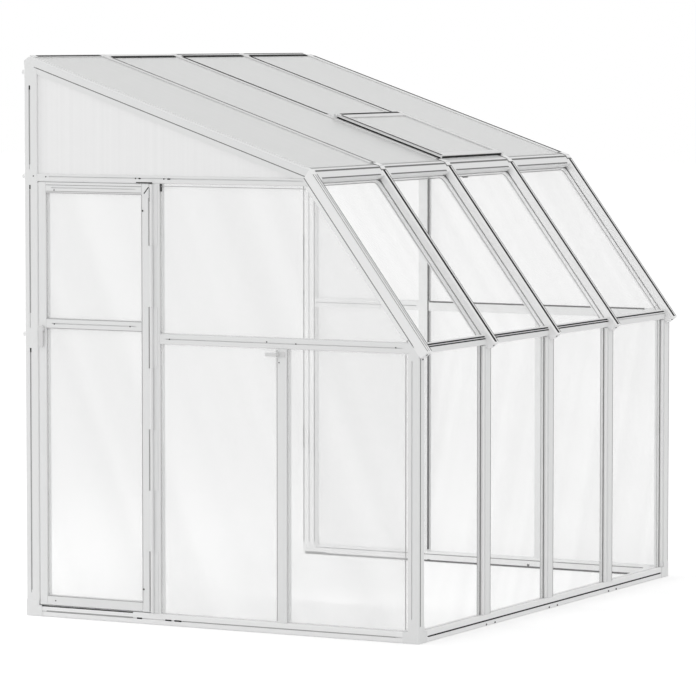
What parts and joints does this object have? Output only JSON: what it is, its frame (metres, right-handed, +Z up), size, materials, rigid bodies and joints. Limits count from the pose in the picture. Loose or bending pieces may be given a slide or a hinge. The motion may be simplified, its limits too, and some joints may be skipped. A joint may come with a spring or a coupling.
{
  "type": "lean-to greenhouse",
  "caption": "Lean-to greenhouse of white resin bars with clear panes, a bent front slope, a hinged gable door with a turning handle, and a top-hung roof vent with a stay.",
  "frame": {"origin": "middle of the plan box, on the ground under the base rails", "axes": "+X along the house wall away from the door gable, +Y towards the house wall, +Z up"},
  "size_m": [2.615, 1.996, 2.461],
  "materials": {
    "white_resin": "satin white",
    "clear_pane": "clear",
    "twin_wall_sheet": "milky, fluted inside",
    "steel": "zinc plated",
    "aluminium_arm": "satin",
    "grey_fitting": "satin"
  },
  "bodies": {
    "frame": {"base_rail_door_side": "white_resin", "base_rail_far_side": "white_resin", "base_rail_front": "white_resin", "corner_feet": "white_resin", "corner_post_door_side": "white_resin", "corner_post_far_side": "white_resin", "door_holder": "grey_fitting", "door_jamb_post": "white_resin", "eave_beams": "white_resin", "eave_tie_door_side": "white_resin", "eave_tie_far_side": "white_resin", "far_jamb_post": "white_resin", "frame_screws": "steel", "front_panes": "clear_pane", "front_posts": "white_resin", "gable_panes_door_side": "clear_pane", "gable_panes_far_side": "clear_pane", "gable_sheet_door_side": "twin_wall_sheet", "gable_sheet_far_side": "twin_wall_sheet", "hinge_frame_leaves": "white_resin", "hinge_pin": "steel", "knee_rails": "white_resin", "lower_mullion_door_side": "white_resin", "lower_mullion_far_side": "white_resin", "mid_rail_door_side": "white_resin", "mid_rails_far_side": "white_resin", "roof_rafter_1": "white_resin", "roof_rafter_2": "white_resin", "roof_rafter_3": "white_resin", "roof_rafter_4": "white_resin", "roof_rafter_5": "white_resin", "roof_sheets": "twin_wall_sheet", "slope_panes": "clear_pane", "slope_rafter_1": "white_resin", "slope_rafter_2": "white_resin", "slope_rafter_3": "white_resin", "slope_rafter_4": "white_resin", "slope_rafter_5": "white_resin", "stay_bracket": "aluminium_arm", "vent_hinge_ears": "white_resin", "vent_hinge_rod": "steel", "vent_trimmer": "white_resin", "wall_anchors": "white_resin", "wall_feet": "white_resin", "wall_plates": "white_resin", "wall_post_door_side": "white_resin", "wall_post_far_side": "white_resin"},
    "door": {"door_stile_hinge": "white_resin", "door_stile_latch": "white_resin", "door_rails": "white_resin", "door_panes": "clear_pane", "hinge_door_leaves": "white_resin", "door_screws": "steel"},
    "handle": {"door_handle": "grey_fitting", "latch_tongue": "grey_fitting"},
    "vent": {"vent_rails": "white_resin", "vent_stiles": "white_resin", "vent_sheet": "twin_wall_sheet", "stay_pivot": "steel"},
    "stay": {"vent_stay": "aluminium_arm"}
  },
  "joints": [
    {"name": "door_swing", "type": "hinge", "parent": "frame", "child": "door", "pos_m": [-1.283, 0.333, 0.98], "axis": [0, 0, 1], "range_deg": [0, 178]},
    {"name": "handle_turn", "type": "hinge", "parent": "door", "child": "handle", "pos_m": [-1.2755, 0.8915, 1.268], "axis": [-1, 0, 0], "range_deg": [0, 90]},
    {"name": "vent_open", "type": "hinge", "parent": "frame", "child": "vent", "pos_m": [0.331, 0.12681, 2.1834], "axis": [-1, 0, 0], "range_deg": [0, 35]},
    {"name": "stay_swing", "type": "hinge", "parent": "vent", "child": "stay", "pos_m": [0.3475, -0.37441, 1.99554], "axis": [-1, 0, 0], "range_deg": [0, 100]}
  ]
}
